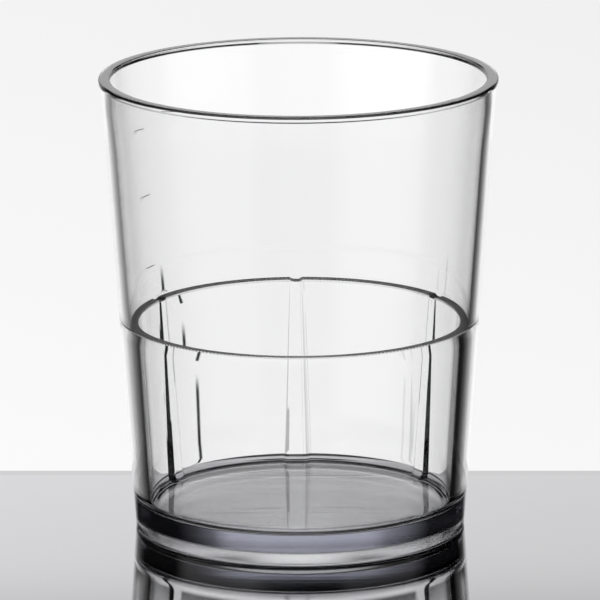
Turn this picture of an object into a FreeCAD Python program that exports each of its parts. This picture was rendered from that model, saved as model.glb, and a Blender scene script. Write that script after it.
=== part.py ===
import FreeCAD, Part
import math
import os

# A clear injection-moulded plastic tumbler, open at the top. Millimetres, Z up.
# The origin is the middle of the foot ring, where the tumbler stands.
# One moulding: a tapered wall with a small outward lip, a stacking shoulder half way down inside,
# three low ribs up the back of the lower wall with a shallow notch in the shoulder over each,
# a floor over a dished foot ring, and three level marks.

# Overall form of the outside
HEIGHT = 92.6
RIM_RADIUS = 40.1
MOUTH_WALL_RADIUS = 39.7
FOOT_RADIUS = 33.3

# Lip round the mouth, standing a little proud of the wall under a flat rim
LIP_HEIGHT = 1.3
LIP_STEP = 0.4
RIM_EDGE = 0.4

# Upper wall, from the rim down to the stacking shoulder
MOUTH_THICKNESS = 1.95
SHOULDER_HEIGHT = 43.3
SHOULDER_THICKNESS = 2.0

# Stacking shoulder, the level ring that the foot of the next tumbler rests on
SHOULDER_WIDTH = 1.7
SHOULDER_EDGE = 0.25

# Lower wall and floor
FLOOR_INNER_RADIUS = 30.37
FLOOR_HEIGHT = 5.8
FLOOR_FILLET = 2.0

# Foot ring and the dish under the floor
FOOT_ROUND = 0.8
FOOT_RING_INNER_RADIUS = 27.6
DISH_DEPTH = 2.4
DISH_CORNER = 1.2

# Low ribs up the lower wall, deeper and wider towards the floor
RIB_COUNT = 3
RIB_SPACING = 60.1
RIB_TURN = 1.3
RIB_DEPTH_TOP = 0.2
RIB_DEPTH_FLOOR = 0.95
RIB_WIDTH_TOP = 2.7
RIB_WIDTH_FLOOR = 6.0
RIB_FLANK_SLOPE = 38.0

# Vent notch across the shoulder over each rib, wider at the top
NOTCH_DEPTH = 0.4
NOTCH_WIDTH_TOP = 2.7
NOTCH_WIDTH_BOTTOM = 1.4

# Level marks, short bars raised on the inside of the upper wall
MARK_COUNT = 3
MARK_PITCH = 14.3
FIRST_MARK_BELOW_RIM = 14.3
MARK_LENGTH = 4.8
MARK_HEIGHT = 0.5
MARK_STAND = 0.3
MARK_ANGLE = 152.0

# How far one form is sunk into the wall that carries it, so that they fuse
SEAT = 0.6


def outer_radius(z):
    """Radius of the straight outer wall at a height."""
    return FOOT_RADIUS + (MOUTH_WALL_RADIUS - FOOT_RADIUS) * z / HEIGHT


def shoulder_outer_edge():
    """Radius where the upper wall comes down to the stacking shoulder."""
    return outer_radius(SHOULDER_HEIGHT) - SHOULDER_THICKNESS


def shoulder_inner_edge():
    """Radius where the stacking shoulder drops to the lower wall."""
    return shoulder_outer_edge() - SHOULDER_WIDTH


def lower_wall_radius(z):
    """Radius of the straight inner wall between the floor and the shoulder."""
    rise = (z - FLOOR_HEIGHT) / (SHOULDER_HEIGHT - FLOOR_HEIGHT)
    return FLOOR_INNER_RADIUS + (shoulder_inner_edge() - FLOOR_INNER_RADIUS) * rise


def upper_wall_radius(z):
    """Radius of the straight inner wall between the shoulder and the rim."""
    mouth = outer_radius(HEIGHT) - MOUTH_THICKNESS
    rise = (z - SHOULDER_HEIGHT) / (HEIGHT - SHOULDER_HEIGHT)
    return shoulder_outer_edge() + (mouth - shoulder_outer_edge()) * rise


def point(radius, z):
    """A point of the half section, which lies in the XZ plane."""
    return FreeCAD.Vector(radius, 0, z)


def closed_face(points):
    """A flat face from the corner points of its outline."""
    return Part.Face(Part.makePolygon(points + points[:1]))


def rounded_section(corners):
    """A face from (radius, z, round) corners, with an arc at each corner that has a round."""
    count = len(corners)
    edges = []
    starts = []
    ends = []
    for i in range(count):
        here = point(corners[i][0], corners[i][1])
        before = point(corners[i - 1][0], corners[i - 1][1])
        after = point(corners[(i + 1) % count][0], corners[(i + 1) % count][1])
        back = (before - here).normalize()
        ahead = (after - here).normalize()
        half = back.getAngle(ahead) / 2
        reach = corners[i][2] / math.tan(half)
        starts.append(here + back * reach)
        ends.append(here + ahead * reach)
        if corners[i][2] > 0:
            bisector = (back + ahead).normalize()
            middle = here + bisector * (corners[i][2] / math.sin(half) - corners[i][2])
            edges.append(Part.Arc(starts[i], middle, ends[i]).toShape())
    for i in range(count):
        following = (i + 1) % count
        if ends[i].distanceToPoint(starts[following]) > 1e-6:
            edges.append(Part.makeLine(ends[i], starts[following]))
    return Part.Face(Part.Wire(Part.__sortEdges__(edges)))


def revolved(face):
    """The solid of a half section turned once round the axis."""
    return face.revolve(FreeCAD.Vector(0, 0, 0), FreeCAD.Vector(0, 0, 1), 360)


def tumbler_body():
    """The wall, lip, shoulder, floor and foot ring as one turned solid."""
    lip_foot = HEIGHT - LIP_HEIGHT
    corners = [
        (0, DISH_DEPTH, 0),
        (FOOT_RING_INNER_RADIUS - DISH_DEPTH - DISH_CORNER, DISH_DEPTH, 0),
        (FOOT_RING_INNER_RADIUS - DISH_DEPTH + DISH_CORNER / 2, DISH_DEPTH - DISH_CORNER / 2, 0),
        (FOOT_RING_INNER_RADIUS, 0, 0),
        (FOOT_RADIUS, 0, FOOT_ROUND),
        (outer_radius(lip_foot), lip_foot, 0),
        (RIM_RADIUS, lip_foot + LIP_STEP, 0),
        (RIM_RADIUS, HEIGHT - RIM_EDGE, 0),
        (RIM_RADIUS - RIM_EDGE, HEIGHT, 0),
        (upper_wall_radius(HEIGHT) + RIM_EDGE, HEIGHT, 0),
        (upper_wall_radius(HEIGHT - RIM_EDGE), HEIGHT - RIM_EDGE, 0),
        (shoulder_outer_edge(), SHOULDER_HEIGHT, 0),
        (shoulder_inner_edge() + SHOULDER_EDGE, SHOULDER_HEIGHT, 0),
        (shoulder_inner_edge(), SHOULDER_HEIGHT - SHOULDER_EDGE, 0),
        (FLOOR_INNER_RADIUS, FLOOR_HEIGHT, FLOOR_FILLET),
        (0, FLOOR_HEIGHT, 0),
    ]
    return revolved(rounded_section(corners))


def rib_outline(z, depth, width):
    """Section of one rib at a height: two sloped flanks and a flat crest, seated in the wall."""
    wall = lower_wall_radius(z)
    root_half = width / 2
    crest_half = root_half - depth / math.tan(math.radians(RIB_FLANK_SLOPE))
    root_x = math.sqrt(wall ** 2 - root_half ** 2)
    return Part.makePolygon([
        FreeCAD.Vector(root_x + SEAT, -root_half, z),
        FreeCAD.Vector(root_x + SEAT, root_half, z),
        FreeCAD.Vector(root_x, root_half, z),
        FreeCAD.Vector(wall - depth, crest_half, z),
        FreeCAD.Vector(wall - depth, -crest_half, z),
        FreeCAD.Vector(root_x, -root_half, z),
        FreeCAD.Vector(root_x + SEAT, -root_half, z),
    ])


def rib():
    """One rib, lofted from the floor up to the bottom of its notch."""
    bottom = rib_outline(FLOOR_HEIGHT - SEAT, RIB_DEPTH_FLOOR, RIB_WIDTH_FLOOR)
    top = rib_outline(SHOULDER_HEIGHT - NOTCH_DEPTH, RIB_DEPTH_TOP, RIB_WIDTH_TOP)
    return Part.makeLoft([bottom, top], True, True)


def notch():
    """The cut across the shoulder over one rib, from the bore out to the upper wall."""
    top_half = NOTCH_WIDTH_TOP / 2
    bottom_half = NOTCH_WIDTH_BOTTOM / 2
    inner = shoulder_inner_edge() - RIB_DEPTH_TOP - SEAT
    bottom = SHOULDER_HEIGHT - NOTCH_DEPTH
    section = closed_face([
        FreeCAD.Vector(inner, -bottom_half, bottom),
        FreeCAD.Vector(inner, bottom_half, bottom),
        FreeCAD.Vector(inner, top_half, SHOULDER_HEIGHT),
        FreeCAD.Vector(inner, top_half, SHOULDER_HEIGHT + SEAT),
        FreeCAD.Vector(inner, -top_half, SHOULDER_HEIGHT + SEAT),
        FreeCAD.Vector(inner, -top_half, SHOULDER_HEIGHT),
    ])
    cut = section.extrude(FreeCAD.Vector(shoulder_outer_edge() - inner + SEAT, 0, 0))
    bore = Part.makeCylinder(shoulder_outer_edge(), NOTCH_DEPTH + 2 * SEAT,
                             FreeCAD.Vector(0, 0, bottom - SEAT))
    return cut.common(bore)


def rib_angles():
    """Angles of the ribs about the axis, with the middle one near the back."""
    first = 90 + RIB_TURN - (RIB_COUNT - 1) / 2 * RIB_SPACING
    return [first + index * RIB_SPACING for index in range(RIB_COUNT)]


def turned(shape, angle):
    """The shape turned about the axis of the tumbler."""
    shape.rotate(FreeCAD.Vector(0, 0, 0), FreeCAD.Vector(0, 0, 1), angle)
    return shape


def level_mark(z):
    """One short raised bar that follows the inside of the upper wall."""
    lower = z - MARK_HEIGHT / 2
    upper = z + MARK_HEIGHT / 2
    section = closed_face([
        point(upper_wall_radius(lower) - MARK_STAND, lower),
        point(upper_wall_radius(lower) + SEAT, lower),
        point(upper_wall_radius(upper) + SEAT, upper),
        point(upper_wall_radius(upper) - MARK_STAND, upper),
    ])
    sweep = math.degrees(MARK_LENGTH / upper_wall_radius(z))
    bar = section.revolve(FreeCAD.Vector(0, 0, 0), FreeCAD.Vector(0, 0, 1), sweep)
    return turned(bar, MARK_ANGLE - sweep / 2)


def tumbler():
    """The finished moulding."""
    additions = [turned(rib(), angle) for angle in rib_angles()]
    for index in range(MARK_COUNT):
        additions.append(level_mark(HEIGHT - FIRST_MARK_BELOW_RIM - index * MARK_PITCH))
    notches = [turned(notch(), angle) for angle in rib_angles()]
    return tumbler_body().multiFuse(additions).cut(notches).removeSplitter()


os.makedirs("parts", exist_ok=True)
shape = tumbler()
solid = shape.Solids[0]
print("solids", len(shape.Solids), "valid", shape.isValid(), "volume cm3", round(solid.Volume / 1000, 2))
solid.exportStep("parts/tumbler.step")
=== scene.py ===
from math import atan2, cos, degrees, hypot, pi, radians, sin, tan

import bpy
from mathutils import Matrix, Vector


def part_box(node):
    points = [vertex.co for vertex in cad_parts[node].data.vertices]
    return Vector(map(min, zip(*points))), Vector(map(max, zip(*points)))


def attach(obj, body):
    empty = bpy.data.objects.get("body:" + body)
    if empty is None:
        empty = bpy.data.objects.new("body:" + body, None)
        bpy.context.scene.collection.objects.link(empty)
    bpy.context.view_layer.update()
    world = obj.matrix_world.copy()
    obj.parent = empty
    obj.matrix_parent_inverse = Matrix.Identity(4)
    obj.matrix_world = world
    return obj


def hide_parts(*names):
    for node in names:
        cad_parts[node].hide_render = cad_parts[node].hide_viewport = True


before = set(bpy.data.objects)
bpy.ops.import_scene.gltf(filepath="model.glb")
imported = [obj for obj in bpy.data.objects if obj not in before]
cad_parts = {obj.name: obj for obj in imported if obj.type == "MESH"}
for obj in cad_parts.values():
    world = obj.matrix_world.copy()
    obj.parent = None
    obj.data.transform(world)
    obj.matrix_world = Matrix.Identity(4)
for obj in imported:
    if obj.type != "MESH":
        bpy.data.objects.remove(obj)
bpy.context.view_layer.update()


# The tumbler: one moulding in clear plastic, turned about its axis. The wall tapers to a foot
# ring, carries a small lip under a flat rim and a level stacking shoulder half way down inside.
# Three low ribs run up the back of the lower wall, each under a shallow notch. In millimetres.
MM = 0.001
TUMBLER_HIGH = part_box("tumbler")[1]
RIM_RADIUS = TUMBLER_HIGH[0] / MM
HEIGHT = TUMBLER_HIGH[2] / MM
MOUTH_WALL_RADIUS = 39.7
FOOT_RADIUS = 33.3
LIP_HEIGHT = 1.3
LIP_STEP = 0.4
LIP_FOOT_ROUND = 0.2
LIP_TOP_ROUND = 0.15
RIM_ROUND = 0.45
MOUTH_THICKNESS = 1.95
SHOULDER_HEIGHT = 43.3
SHOULDER_THICKNESS = 2.0
SHOULDER_WIDTH = 1.7
SHOULDER_ROUND = 0.12
FLOOR_INNER_RADIUS = 30.37
FLOOR_HEIGHT = 5.8
FLOOR_FILLET = 2.0
FOOT_ROUND = 0.8
FOOT_RING_INNER_RADIUS = 30.4
FOOT_RING_ROUND = 0.4
DISH_DEPTH = 2.4
DISH_SLOPE = 0.8
DISH_ROUND = 0.5

# Ribs: angles from the back, half width and depth at the shoulder and at the floor. Half a rib has
# as many columns of the mesh as rib_half_section gives points.
RIB_ANGLES = [-61.4, -1.2, 58.8]
RIB_HALF_TOP = 1.35
RIB_HALF_FLOOR = 3.0
RIB_DEPTH_TOP = 0.2
RIB_DEPTH_FLOOR = 0.95
RIB_FLANK_SLOPE = 38.0
RIB_EDGE_ROUND = 0.12
NOTCH_DEPTH = 0.4
NOTCH_HALF = 1.35
NOTCH_FLAT_HALF = 0.7
RIB_ZONE = 18.0
RIB_COLUMNS = 20
RIB_SIDE_COLUMNS = 6
RIB_FADE_START = 26.0
RIB_FADE_END = 29.0
NOTCH_REACH = 0.9
NOTCH_BLEND = 0.6

# Level marks: thin bars raised on the upper wall over the left rib, 60 ml apart.
MARK_HEIGHTS = [HEIGHT - 13.7, HEIGHT - 28.2, HEIGHT - 42.8]
MARK_MIDDLE = -64.6
MARK_HALF_TURN = 3.1
MARK_HALF = 0.25
MARK_STAND = 0.3
MARK_FLANK = 0.06

# How finely the mesh is cut: bands up each wall, rows on the upper wall, rings on the floor.
OUTER_BANDS = 8
LOWER_BANDS = 14
UPPER_ROWS = [88, 84, 74, 69, 60, 55, 46.5, 44.2, 43.8]
FLOOR_RINGS = [27.0, 25.0, 22.0, 15.0]
COLUMN_TURN = 1.25
SMOOTH_ANGLE = 35
NEAR = 0.05


def outer_radius(z):
    return FOOT_RADIUS + (MOUTH_WALL_RADIUS - FOOT_RADIUS) * z / HEIGHT


SHOULDER_OUTER = outer_radius(SHOULDER_HEIGHT) - SHOULDER_THICKNESS
SHOULDER_INNER = SHOULDER_OUTER - SHOULDER_WIDTH


def rise_at(z):
    return min(1, max(0, (z - FLOOR_HEIGHT) / (SHOULDER_HEIGHT - FLOOR_HEIGHT)))


def lower_wall_radius(z):
    return FLOOR_INNER_RADIUS + (SHOULDER_INNER - FLOOR_INNER_RADIUS) * rise_at(z)


def upper_wall_radius(z):
    mouth = outer_radius(HEIGHT) - MOUTH_THICKNESS
    rise = (z - SHOULDER_HEIGHT) / (HEIGHT - SHOULDER_HEIGHT)
    return SHOULDER_OUTER + (mouth - SHOULDER_OUTER) * rise


def rounded_outline(corners, arc_step=9.0):
    """Points along a half section, with a true arc at each corner that has a round."""
    points = []
    for i, (r, z, round_) in enumerate(corners):
        here = Vector((r, z))
        if round_ == 0 or i in (0, len(corners) - 1):
            points.append(here)
            continue
        back = (Vector(corners[i - 1][:2]) - here).normalized()
        ahead = (Vector(corners[i + 1][:2]) - here).normalized()
        half = back.angle(ahead) / 2
        centre = here + (back + ahead).normalized() * (round_ / sin(half))
        first = here + back * (round_ / tan(half)) - centre
        turn = pi - 2 * half
        count = max(3, round(degrees(turn) / arc_step))
        side = 1 if back.cross(ahead) < 0 else -1
        for k in range(count + 1):
            points.append(centre + Matrix.Rotation(side * turn * k / count, 2) @ first)
    return points


def stretch(start, end, count):
    """Corners dropped in along a straight wall, so that its faces stay short."""
    return [(start[0] + (end[0] - start[0]) * k / count, start[1] + (end[1] - start[1]) * k / count, 0)
            for k in range(1, count)]


lip_foot = HEIGHT - LIP_HEIGHT
mark_sides = (MARK_HALF + MARK_FLANK, MARK_HALF, -MARK_HALF, -MARK_HALF - MARK_FLANK)
mark_rows = [z + side for z in MARK_HEIGHTS for side in mark_sides]
upper_rows = sorted(mark_rows + UPPER_ROWS, reverse=True)
section = [
    (0, DISH_DEPTH, 0),
    (FOOT_RING_INNER_RADIUS - DISH_SLOPE, DISH_DEPTH, DISH_ROUND),
    (FOOT_RING_INNER_RADIUS, 0, FOOT_RING_ROUND),
    (FOOT_RADIUS, 0, FOOT_ROUND),
    *stretch((FOOT_RADIUS, 0), (outer_radius(lip_foot), lip_foot), OUTER_BANDS),
    (outer_radius(lip_foot), lip_foot, LIP_FOOT_ROUND),
    (RIM_RADIUS, lip_foot + LIP_STEP, LIP_TOP_ROUND),
    (RIM_RADIUS, HEIGHT, RIM_ROUND),
    (upper_wall_radius(HEIGHT), HEIGHT, RIM_ROUND),
    *[(upper_wall_radius(z), z, 0) for z in upper_rows],
    (SHOULDER_OUTER, SHOULDER_HEIGHT, SHOULDER_ROUND),
    (SHOULDER_INNER, SHOULDER_HEIGHT, SHOULDER_ROUND),
    *stretch((SHOULDER_INNER, SHOULDER_HEIGHT), (FLOOR_INNER_RADIUS, FLOOR_HEIGHT), LOWER_BANDS),
    (FLOOR_INNER_RADIUS, FLOOR_HEIGHT, FLOOR_FILLET),
    *[(r, FLOOR_HEIGHT, 0) for r in FLOOR_RINGS],
    (0, FLOOR_HEIGHT, 0),
]
outline = rounded_outline(section)

# The turn is fine across each rib and coarser between them.
rib_steps = 2 * (RIB_COLUMNS + RIB_SIDE_COLUMNS)
sweeps = []
for i, middle in enumerate(RIB_ANGLES):
    following = RIB_ANGLES[(i + 1) % len(RIB_ANGLES)] + (360 if i == len(RIB_ANGLES) - 1 else 0)
    gap = following - middle - RIB_ZONE
    sweeps.append((RIB_ZONE, rib_steps))
    sweeps.append((gap, round(gap / COLUMN_TURN)))

bpy.ops.object.select_all(action="DESELECT")
mesh = bpy.data.meshes.new("tumbler_shell")
first_angle = radians(90 - RIB_ANGLES[0] + RIB_ZONE / 2)
mesh.from_pydata(
    [(p.x * MM * cos(first_angle), p.x * MM * sin(first_angle), p.y * MM) for p in outline],
    [(i, i + 1) for i in range(len(outline) - 1)], [])
shell = bpy.data.objects.new("tumbler_shell", mesh)
bpy.context.collection.objects.link(shell)
bpy.context.view_layer.objects.active = shell
shell.select_set(True)
bpy.ops.object.mode_set(mode="EDIT")
bpy.ops.mesh.select_all(action="SELECT")
for sweep, steps in sweeps:
    bpy.ops.mesh.spin(steps=steps, angle=-radians(sweep), center=(0, 0, 0), axis=(0, 0, 1))
bpy.ops.mesh.select_all(action="SELECT")
bpy.ops.mesh.remove_doubles(threshold=0.000002)
bpy.ops.mesh.normals_make_consistent(inside=False)
bpy.ops.object.mode_set(mode="OBJECT")


def ramp(value, low, high):
    """Smooth step from 1 at low to 0 at high."""
    t = min(1, max(0, (value - low) / (high - low)))
    return 1 - t * t * (3 - 2 * t)


def rib_half_section(half, depth):
    """Across and stand of each column of a rib, from its middle out to the plain wall."""
    slope = radians(RIB_FLANK_SLOPE)
    crest = half - depth / tan(slope)
    reach = RIB_EDGE_ROUND * tan(slope / 2)
    points = [((crest - reach) * k / 5, depth) for k in range(6)]
    for k in range(1, 5):
        turn = slope * k / 4
        points.append((crest - reach + RIB_EDGE_ROUND * sin(turn), depth - RIB_EDGE_ROUND * (1 - cos(turn))))
    top = points[-1]
    foot = (half - reach * cos(slope), reach * sin(slope))
    for k in range(1, 6):
        points.append((top[0] + (foot[0] - top[0]) * k / 5, top[1] + (foot[1] - top[1]) * k / 5))
    for k in range(1, 6):
        turn = slope * (1 - k / 5)
        points.append((half + reach - RIB_EDGE_ROUND * sin(turn), RIB_EDGE_ROUND * (1 - cos(turn))))
    return points


for vertex in shell.data.vertices:
    x, y, z = (c / MM for c in vertex.co)
    r = hypot(x, y)
    on_wall = abs(r - upper_wall_radius(z)) < NEAR
    beside = abs(degrees(atan2(x, y)) - MARK_MIDDLE) < MARK_HALF_TURN
    if on_wall and beside and min(abs(z - mark) for mark in MARK_HEIGHTS) < MARK_HALF + 0.01:
        vertex.co = (vertex.co.x * (1 - MARK_STAND / r), vertex.co.y * (1 - MARK_STAND / r), vertex.co.z)
        continue
    inside = FLOOR_HEIGHT - 0.01 <= z <= SHOULDER_HEIGHT + SHOULDER_ROUND and r < SHOULDER_OUTER + NEAR
    if r < 1 or not inside:
        continue
    off_back = degrees(atan2(x, y))
    rise = rise_at(z)
    for middle in RIB_ANGLES:
        off = off_back - middle
        if abs(off) > RIB_ZONE / 2 - 0.001:
            continue
        column = round(abs(off) / (RIB_ZONE / 2) * (RIB_COLUMNS + RIB_SIDE_COLUMNS))
        half = RIB_HALF_FLOOR + (RIB_HALF_TOP - RIB_HALF_FLOOR) * rise
        depth = RIB_DEPTH_FLOOR + (RIB_DEPTH_TOP - RIB_DEPTH_FLOOR) * rise
        points = rib_half_section(half, depth)
        if column < RIB_COLUMNS:
            across, stand = points[column]
            new_off = degrees(across / lower_wall_radius(z))
        else:
            edge = degrees(points[-1][0] / lower_wall_radius(z))
            share = (column - RIB_COLUMNS + 1) / (RIB_SIDE_COLUMNS + 1)
            new_off, stand = edge + (RIB_ZONE / 2 - edge) * share, 0
        if r > lower_wall_radius(z) + NEAR:
            stand = 0
        stand *= 1 - ramp(r, RIB_FADE_START, RIB_FADE_END)
        lower = 0
        if z > SHOULDER_HEIGHT - NOTCH_REACH:
            span = radians(new_off) * r
            cut = 1 - min(1, max(0, (span - NOTCH_FLAT_HALF) / (NOTCH_HALF - NOTCH_FLAT_HALF)))
            lower = NOTCH_DEPTH * cut * min(1, (z - SHOULDER_HEIGHT + NOTCH_REACH) / NOTCH_BLEND)
        angle = radians(90 - middle - (new_off if off > 0 else -new_off))
        vertex.co = ((r - stand) * MM * cos(angle), (r - stand) * MM * sin(angle), (z - lower) * MM)
bpy.ops.object.select_all(action="DESELECT")
shell.select_set(True)
bpy.context.view_layer.objects.active = shell
bpy.ops.object.shade_smooth_by_angle(angle=radians(SMOOTH_ANGLE))

# Clear polished plastic. The underside and the shoulder's step came from a blasted part of the
# mould and are satin; the step also has fine tool lines across it.
SATIN_BASE = 0.12
SATIN_EDGE = 0.6
SATIN_STEP = 0.3
STEP_MIDDLE = 0.15
STEP_HALF = 0.3
STEP_LINES = 260
FLOW_STAND = 0.8
FLOW_STRETCH = (18, 140, 1)
FLOW_RADIUS = 26.0
plastic = bpy.data.materials.new("clear_plastic")
plastic.use_nodes = True
nodes = plastic.node_tree.nodes
links = plastic.node_tree.links
shader = nodes["Principled BSDF"]
shader.inputs["Base Color"].default_value = (0.997, 0.997, 1.0, 1)
shader.inputs["Transmission Weight"].default_value = 1
shader.inputs["IOR"].default_value = 1.57


def combine(operation, first, second):
    """A math node in the current tree, fed by sockets or plain numbers."""
    node = nodes.new("ShaderNodeMath")
    node.operation = operation
    for socket, value in zip(node.inputs, (first, second)):
        if isinstance(value, (int, float)):
            socket.default_value = value
        else:
            links.new(value, socket)
    return node.outputs[0]


place = nodes.new("ShaderNodeTexCoord")
parts = nodes.new("ShaderNodeSeparateXYZ")
links.new(place.outputs["Object"], parts.inputs[0])
squares = [combine("POWER", parts.outputs[axis], 2) for axis in ("X", "Y")]
across = combine("POWER", combine("ADD", *squares), 0.5)
under = combine("MULTIPLY", combine("LESS_THAN", parts.outputs["Z"], (DISH_DEPTH + NEAR) * MM),
                combine("LESS_THAN", across, (FOOT_RADIUS - SATIN_EDGE) * MM))
below_step = combine("SUBTRACT", parts.outputs["Z"], (SHOULDER_HEIGHT - STEP_MIDDLE) * MM)
step = combine("MULTIPLY", combine("LESS_THAN", combine("ABSOLUTE", below_step, 0), STEP_HALF * MM),
               combine("LESS_THAN", across, (SHOULDER_OUTER - 0.03) * MM))
rough = combine("ADD", combine("MULTIPLY", under, SATIN_BASE), combine("MULTIPLY", step, SATIN_STEP))
links.new(rough, shader.inputs["Roughness"])
turn = combine("MULTIPLY", combine("ARCTAN2", parts.outputs["X"], parts.outputs["Y"]), STEP_LINES)
ridge = combine("MULTIPLY", combine("SINE", turn, 0), step)
# Faint flow lines lie across the top of the floor, left by the resin as it filled the mould.
stretched = nodes.new("ShaderNodeMapping")
stretched.inputs["Scale"].default_value = FLOW_STRETCH
links.new(place.outputs["Object"], stretched.inputs["Vector"])
flow = nodes.new("ShaderNodeTexNoise")
flow.inputs["Scale"].default_value = 1.0
flow.inputs["Detail"].default_value = 2.0
flow.inputs["Distortion"].default_value = 1.2
links.new(stretched.outputs[0], flow.inputs["Vector"])
on_floor = combine("MULTIPLY", combine("GREATER_THAN", parts.outputs["Z"], (FLOOR_HEIGHT - NEAR) * MM),
                   combine("LESS_THAN", parts.outputs["Z"], (FLOOR_HEIGHT + NEAR) * MM))
on_floor = combine("MULTIPLY", on_floor, combine("LESS_THAN", across, FLOW_RADIUS * MM))
flow_lines = combine("MULTIPLY", combine("MULTIPLY", flow.outputs["Fac"], on_floor), FLOW_STAND)
ridge = combine("ADD", ridge, flow_lines)
bump = nodes.new("ShaderNodeBump")
bump.inputs["Strength"].default_value = 0.6
bump.inputs["Distance"].default_value = 0.00008
links.new(ridge, bump.inputs["Height"])
links.new(bump.outputs[0], shader.inputs["Normal"])
# The thick floor shows the cool grey of the resin, which the thin walls hardly do.
FLOOR_CAST = 15.0
CAST_ABOVE = 0.3
cast = nodes.new("ShaderNodeVolumeAbsorption")
cast.inputs["Color"].default_value = (0.0, 0.02, 0.22, 1)
in_floor = combine("LESS_THAN", parts.outputs["Z"], (FLOOR_HEIGHT + CAST_ABOVE) * MM)
links.new(combine("MULTIPLY", in_floor, FLOOR_CAST), cast.inputs["Density"])
links.new(cast.outputs[0], nodes["Material Output"].inputs["Volume"])
shell.data.materials.append(plastic)
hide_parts("tumbler")
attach(shell, "root")


# The table: a polished grey sheet that mirrors the tumbler. Its far edge lies close behind it and
# slopes down a little. The sheet is turned so that this edge looks level in the tilted camera.
TABLE_EDGE = 0.0373
TABLE_WIDTH = 1.6
TABLE_DEPTH = 1.2
TABLE_TURN = -0.93
TABLE_TOP = -0.00005
EDGE_SLOPE = (0, 0.0111, -0.002)
bpy.ops.object.select_all(action="DESELECT")
bpy.ops.mesh.primitive_plane_add(size=1)
table = bpy.context.object
table.name = "table"
table.matrix_world = (Matrix.Translation((0, TABLE_EDGE, TABLE_TOP))
                      @ Matrix.Rotation(radians(TABLE_TURN), 4, "Z")
                      @ Matrix.Diagonal((TABLE_WIDTH, TABLE_DEPTH, 1, 1))
                      @ Matrix.Translation((0, -0.5, 0)))
bpy.ops.object.transform_apply(location=True, rotation=True, scale=True)
for edge in table.data.edges:
    edge.select = all(table.data.vertices[v].co.y > 0 for v in edge.vertices)
bpy.context.tool_settings.mesh_select_mode = (False, True, False)
bpy.ops.object.mode_set(mode="EDIT")
bpy.ops.mesh.extrude_region_move(TRANSFORM_OT_translate={"value": EDGE_SLOPE})
bpy.ops.object.mode_set(mode="OBJECT")
# Painted shade: the sheet's colour grows a little darker towards the camera and to the right, standing in for
# its dimmer reflection there.
SHEET_TONE = 0.525
SHEET_SHADE_FALL = 1.0
SHEET_LOW = 0.4
SHEET_HIGH = 0.6
SHEET_TINT = {"Red": 0.995, "Green": 0.99, "Blue": 1.02}
polished = bpy.data.materials.new("polished_sheet")
polished.use_nodes = True
nodes = polished.node_tree.nodes
links = polished.node_tree.links
shader = nodes["Principled BSDF"]
shader.inputs["Metallic"].default_value = 1
shader.inputs["Roughness"].default_value = 0.03
place = nodes.new("ShaderNodeTexCoord")
parts = nodes.new("ShaderNodeSeparateXYZ")
links.new(place.outputs["Object"], parts.inputs[0])
# Painted shade: the sheet's colour falls off towards the camera and to the right, in place of the dimmer
# reflection there.
painted_shade_fall = combine("MULTIPLY", combine("SUBTRACT", parts.outputs["Y"], parts.outputs["X"]), SHEET_SHADE_FALL)
shaded_sheet_tone = combine("MULTIPLY", combine("ADD", painted_shade_fall, 1), SHEET_TONE)
shaded_sheet_tone = combine("MINIMUM", combine("MAXIMUM", shaded_sheet_tone, SHEET_LOW), SHEET_HIGH)
tint = nodes.new("ShaderNodeCombineColor")
for channel, share in SHEET_TINT.items():
    links.new(combine("MULTIPLY", shaded_sheet_tone, share), tint.inputs[channel])
links.new(tint.outputs[0], shader.inputs["Base Color"])
table.data.materials.append(polished)


# The studio: a white backdrop behind, black at both sides for the edges, and soft light in front.
# Tones go by azimuth in degrees from the back, negative to the left: for the main band, for level
# light and for high light. Heights are the sine of the elevation.
BAND_TONES = [
    (-180, 0.12), (-156, 0.1), (-148, 0.3), (-136, 0.1), (-120, 0.1), (-112, 0.35),
    (-96, 0.5), (-86, 0.02), (-42, 0.02), (-36, 0.14), (-30, 0.32), (-24, 0.5),
    (-20, 0.9), (-18, 1.04), (18, 1.04), (20, 0.85), (24, 0.3), (30, 0.1),
    (38, 0.003), (96, 0.003), (112, 0.25), (140, 0.45), (158, 0.45), (180, 0.12),
]
LEVEL_TONES = [
    (-180, 0.06), (-162, 0.2), (-146, 0.9), (-96, 0.9), (-84, 0.03), (-40, 0.02),
    (-28, 0.3), (-14, 0.75), (12, 0.75), (22, 0.3), (30, 0.02), (84, 0.01),
    (96, 0.5), (146, 0.5), (156, 0.06), (180, 0.06),
]
HIGH_TONES = [
    (-180, 1.4), (-152, 1.4), (-140, 0.7), (-124, 0.6), (-112, 0.02), (-40, 0.01),
    (-24, 0.9), (22, 0.9), (40, 0.01), (112, 0.02), (126, 0.4), (150, 0.45),
    (166, 1.2), (180, 1.4),
]
BAND_EDGES = (0.12, 0.17, 0.28, 0.42)
LOW_EDGES = (-0.34, -0.30)
LOW_TONE = 0.03
# A dark seam lies between the band and the high part, and it is dark overhead and far below too.
SEAM_EDGES = (0.27, 0.30, 0.36, 0.42)
SEAM_DEPTH = 0.95
OVER_EDGES = (0.68, 0.74)
OVER_TONE = 0.03
# What the camera sees of the backdrop: lighter towards the table and to the left.
SEEN_TONES = (0.885, 0.947)
SEEN_HEIGHTS = (-0.19, -0.256)
SEEN_TURN = -0.0045
SEEN_SIDE = 0.015
# Thin dark lines low in the backdrop, as (azimuth, half width, tone), drawn out by the ribs.
LINES = [(-5.35, 0.19, 0.02), (5.6, 0.13, 0.85), (6.75, 0.13, 0.75)]
LINE_SOFTNESS = (0.3, 1.3)
LINE_TOP = -0.234
LINE_FULL = -0.237
world = bpy.data.worlds.new("studio")
bpy.context.scene.world = world
world.use_nodes = True
nodes = world.node_tree.nodes
links = world.node_tree.links
background = nodes["Background"]

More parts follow.
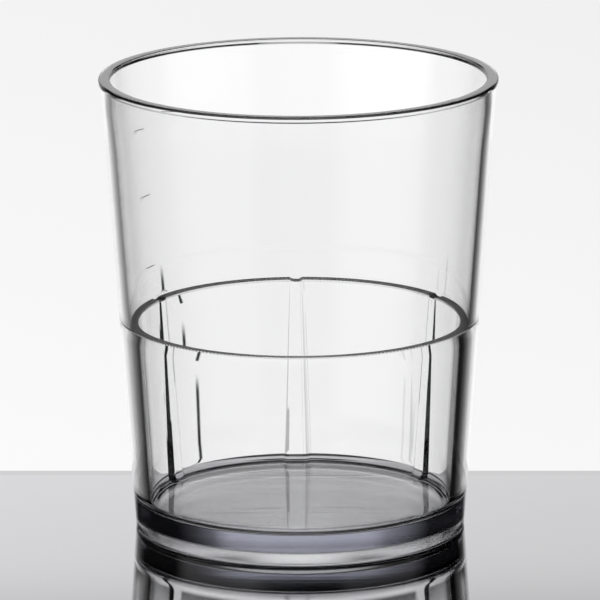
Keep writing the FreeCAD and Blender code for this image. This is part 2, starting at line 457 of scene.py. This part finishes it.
where = nodes.new("ShaderNodeTexCoord")
split = nodes.new("ShaderNodeSeparateXYZ")
links.new(where.outputs["Generated"], split.inputs[0])
azimuth = combine("MULTIPLY", combine("ARCTAN2", split.outputs["X"], split.outputs["Y"]), 180 / pi)
spread = combine("DIVIDE", combine("ADD", azimuth, 180), 360)
height = split.outputs["Z"]


def tone_table(stops):
    """A tone by azimuth, from a list of (azimuth, tone) stops."""
    table_node = nodes.new("ShaderNodeValToRGB")
    links.new(spread, table_node.inputs["Fac"])
    for k, (turned, level) in enumerate(stops):
        elements = table_node.color_ramp.elements
        stop = elements[k] if k < 2 else elements.new((turned + 180) / 360)
        stop.position = (turned + 180) / 360
        stop.color = (level, level, level, 1)
    return table_node.outputs["Color"]


def passing(value, low, high):
    """0 below low and 1 above high, with a soft step between."""
    node = nodes.new("ShaderNodeMapRange")
    node.interpolation_type = "SMOOTHSTEP"
    node.inputs["From Min"].default_value = low
    node.inputs["From Max"].default_value = high
    links.new(value, node.inputs["Value"])
    return node.outputs[0]


def blend(share, first, second):
    """The first value, passing over to the second as the share goes from 0 to 1."""
    node = nodes.new("ShaderNodeMix")
    node.data_type = "FLOAT"
    links.new(share, node.inputs[0])
    for socket, value in ((node.inputs[2], first), (node.inputs[3], second)):
        if isinstance(value, (int, float)):
            socket.default_value = value
        else:
            links.new(value, socket)
    return node.outputs[0]


band = tone_table(BAND_TONES)
line_share = combine("SUBTRACT", 1, passing(height, LINE_FULL, LINE_TOP))
for turned, half, level in LINES:
    off = combine("ABSOLUTE", combine("SUBTRACT", azimuth, turned), 0)
    core = combine("SUBTRACT", 1, passing(off, half * LINE_SOFTNESS[0], half * LINE_SOFTNESS[1]))
    dark = combine("MULTIPLY", combine("MULTIPLY", core, line_share), 1 - level)
    band = combine("MULTIPLY", band, combine("SUBTRACT", 1, dark))
steep = combine("ABSOLUTE", height, 0)
tone = blend(passing(steep, BAND_EDGES[0], BAND_EDGES[1]), tone_table(LEVEL_TONES), band)
tone = blend(passing(height, BAND_EDGES[2], BAND_EDGES[3]), tone, tone_table(HIGH_TONES))
seam = combine("MULTIPLY", passing(height, SEAM_EDGES[0], SEAM_EDGES[1]),
               combine("SUBTRACT", 1, passing(height, SEAM_EDGES[2], SEAM_EDGES[3])))
tone = combine("MULTIPLY", tone, combine("SUBTRACT", 1, combine("MULTIPLY", seam, SEAM_DEPTH)))
tone = blend(passing(height, OVER_EDGES[0], OVER_EDGES[1]), tone, OVER_TONE)
tone = blend(passing(height, LOW_EDGES[0], LOW_EDGES[1]), LOW_TONE, tone)
seen = nodes.new("ShaderNodeLightPath")
backdrop = nodes.new("ShaderNodeMapRange")
backdrop.inputs["From Min"].default_value = SEEN_HEIGHTS[0]
backdrop.inputs["From Max"].default_value = SEEN_HEIGHTS[1]
backdrop.inputs["To Min"].default_value = SEEN_TONES[0]
backdrop.inputs["To Max"].default_value = SEEN_TONES[1]
links.new(height, backdrop.inputs["Value"])
aside = combine("MAXIMUM", combine("MINIMUM", combine("MULTIPLY", azimuth, SEEN_TURN), SEEN_SIDE), -SEEN_SIDE)
straight = combine("ADD", backdrop.outputs[0], aside)
tone = blend(seen.outputs["Is Camera Ray"], tone, straight)
links.new(tone, background.inputs["Color"])


# The camera, at the photograph's angle.
CAMERA_ASIDE = 0.00014
CAMERA_BACK = 1.342
CAMERA_UP = 0.3697
CAMERA_PITCH = 13.54
CAMERA_ROLL = 0.24
SENSOR = 36
FOCAL_PIXELS = 6844
PICTURE_PIXELS = 600
bpy.ops.object.camera_add(location=(CAMERA_ASIDE, -CAMERA_BACK, CAMERA_UP))
camera = bpy.context.object
camera.name = "camera"
camera.data.lens = FOCAL_PIXELS / PICTURE_PIXELS * SENSOR
camera.data.sensor_width = SENSOR
camera.data.clip_start = 0.05
camera.rotation_euler = (radians(90 - CAMERA_PITCH), 0, 0)
camera.rotation_euler.rotate_axis("Z", radians(-CAMERA_ROLL))
bpy.context.scene.camera = camera
bpy.context.scene.view_settings.view_transform = "Standard"
